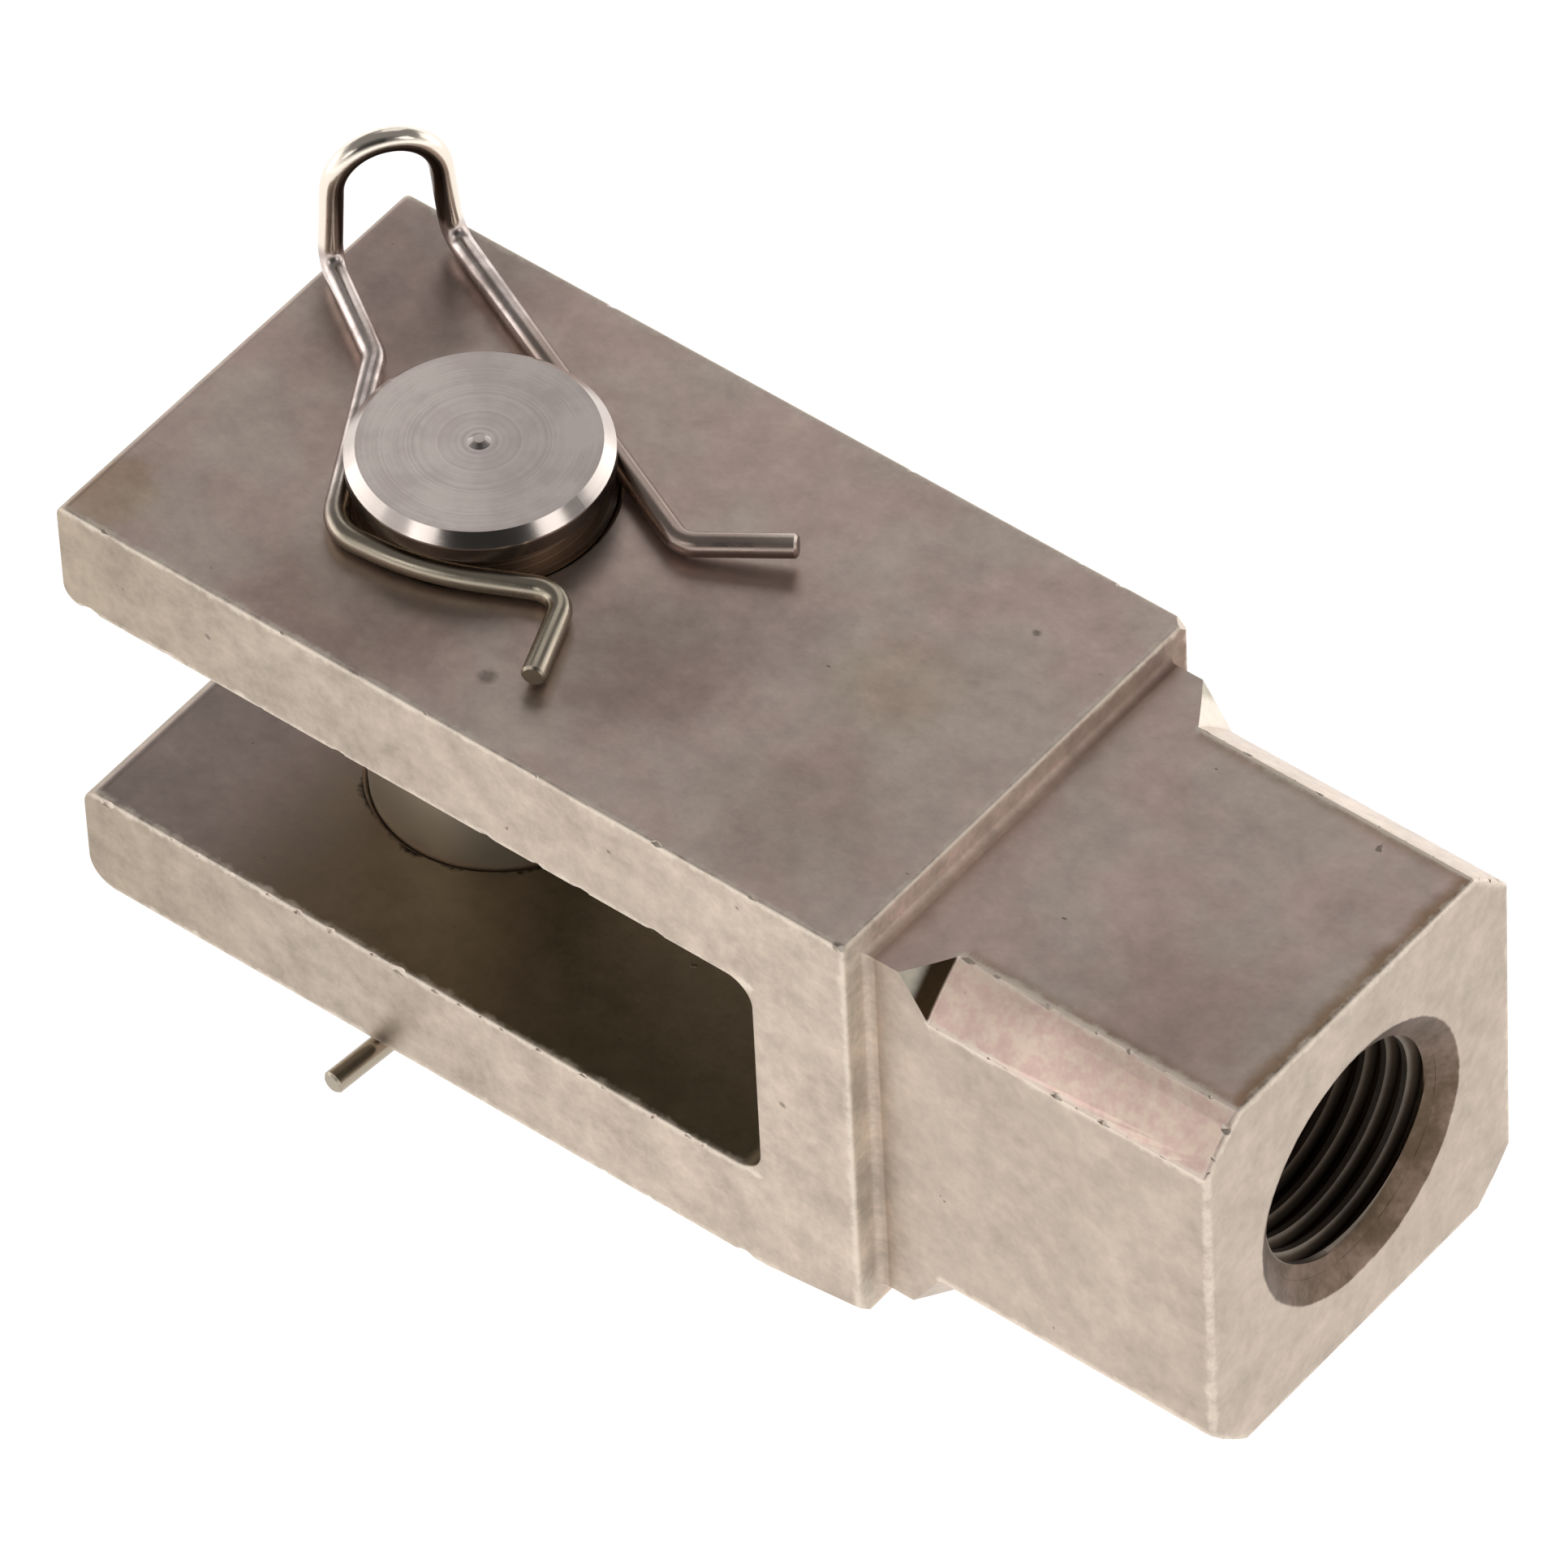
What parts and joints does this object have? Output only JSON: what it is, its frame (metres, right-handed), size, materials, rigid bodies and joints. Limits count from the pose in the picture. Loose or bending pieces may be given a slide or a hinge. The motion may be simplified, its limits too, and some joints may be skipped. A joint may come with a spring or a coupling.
{
  "type": "clevis rod end",
  "caption": "Square steel fork with a slot between its ears and a tapped neck for a rod; a grooved clevis pin crosses the slot and is kept in by bent wire clips.",
  "frame": {"origin": "where the clevis pin's axis crosses the rod thread's axis, midway between the ears", "axes": "+X along the rod thread, out of the neck towards the rod; +Z along the clevis pin; +Y across the ears"},
  "size_m": [0.0836, 0.0356, 0.0528],
  "materials": {
    "fork_steel": "satin plated steel, slightly mottled",
    "pin_steel": "turned and polished steel",
    "clip_wire": "bright drawn spring wire"
  },
  "bodies": {
    "fork": {"fork": "fork_steel"},
    "pin": {"clevis_pin": "pin_steel"},
    "upper_clip": {"upper_clip": "clip_wire"},
    "lower_clip": {"lower_clip": "clip_wire"}
  },
  "joints": [
    {"name": "pin_turn", "type": "hinge", "parent": "fork", "child": "pin", "pos_m": [0, 0, 0], "axis": [0, 0, 1], "continuous": true},
    {"name": "upper_clip_turn", "type": "hinge", "parent": "pin", "child": "upper_clip", "pos_m": [0, 0, 0.0169], "axis": [0, 0, 1], "continuous": true},
    {"name": "lower_clip_turn", "type": "hinge", "parent": "pin", "child": "lower_clip", "pos_m": [0, 0, -0.0169], "axis": [0, 0, 1], "continuous": true}
  ]
}
